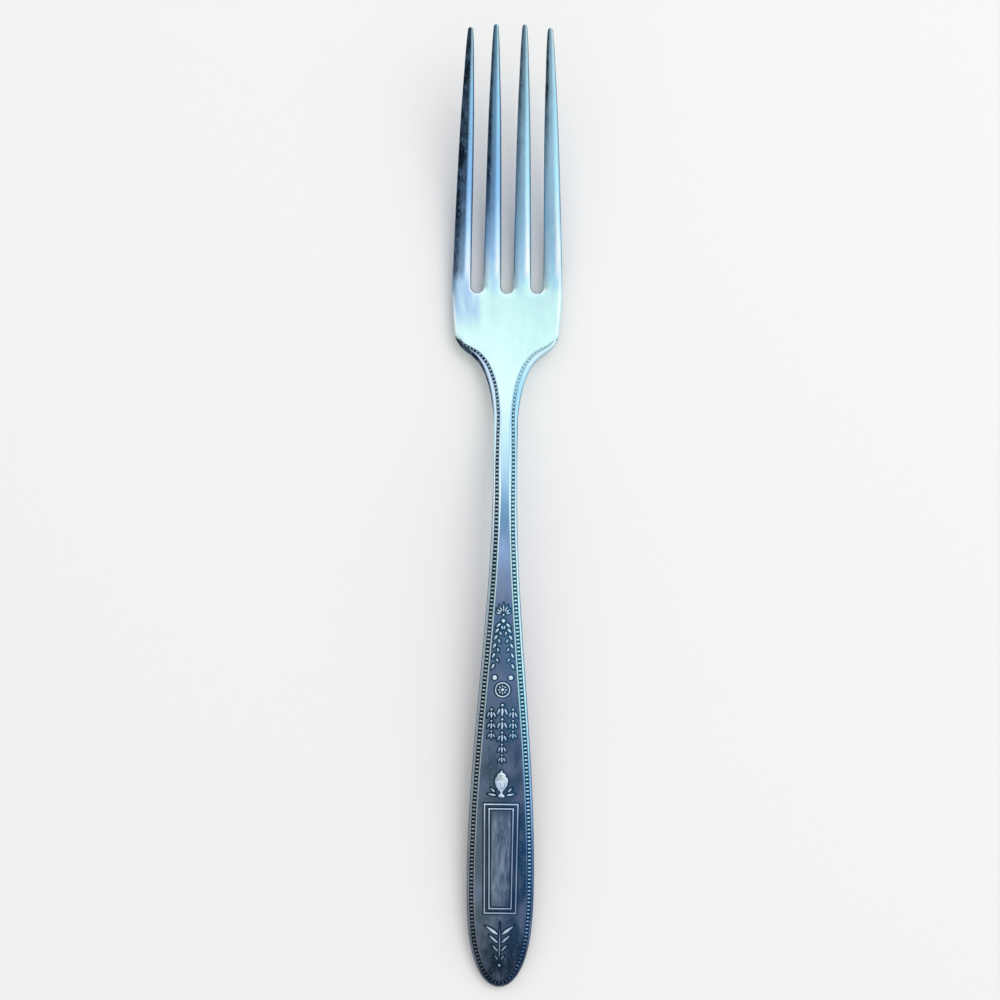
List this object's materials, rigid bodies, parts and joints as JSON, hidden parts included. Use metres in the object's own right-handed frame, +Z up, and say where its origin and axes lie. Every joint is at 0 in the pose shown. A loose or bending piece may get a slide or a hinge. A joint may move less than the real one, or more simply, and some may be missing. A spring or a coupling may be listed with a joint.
{
  "type": "dinner fork",
  "caption": "Slender tined dinner fork with a beaded border, struck ornament and a blank framed tablet on the handle.",
  "frame": {"origin": "on the table, under the middle of the fork's bounding box", "axes": "+Y along the fork from the handle's end to the tips, +X to the right, +Z up from the table, face side up"},
  "size_m": [0.022, 0.19, 0.0189],
  "materials": {
    "silver_plate": "worn silver plate, satin with fine scratches",
    "bright_relief": "silver plate rubbed bright on the raised details"
  },
  "bodies": {
    "root": {"outer_tine_left": "silver_plate", "inner_tine_left": "silver_plate", "inner_tine_right": "silver_plate", "outer_tine_right": "silver_plate", "palm": "silver_plate", "neck": "silver_plate", "handle": "silver_plate", "outer_rim_line": "bright_relief", "left_beading": "bright_relief", "right_beading": "bright_relief", "end_beading": "bright_relief", "inner_rim_line": "bright_relief", "palmette": "bright_relief", "laurel_festoon": "bright_relief", "patera": "bright_relief", "husk_drop": "bright_relief", "left_husk_drop": "bright_relief", "right_husk_drop": "bright_relief", "urn": "bright_relief", "tablet_outer_frame": "bright_relief", "tablet_inner_frame": "bright_relief", "leaf_spray": "bright_relief"}
  },
  "joints": []
}
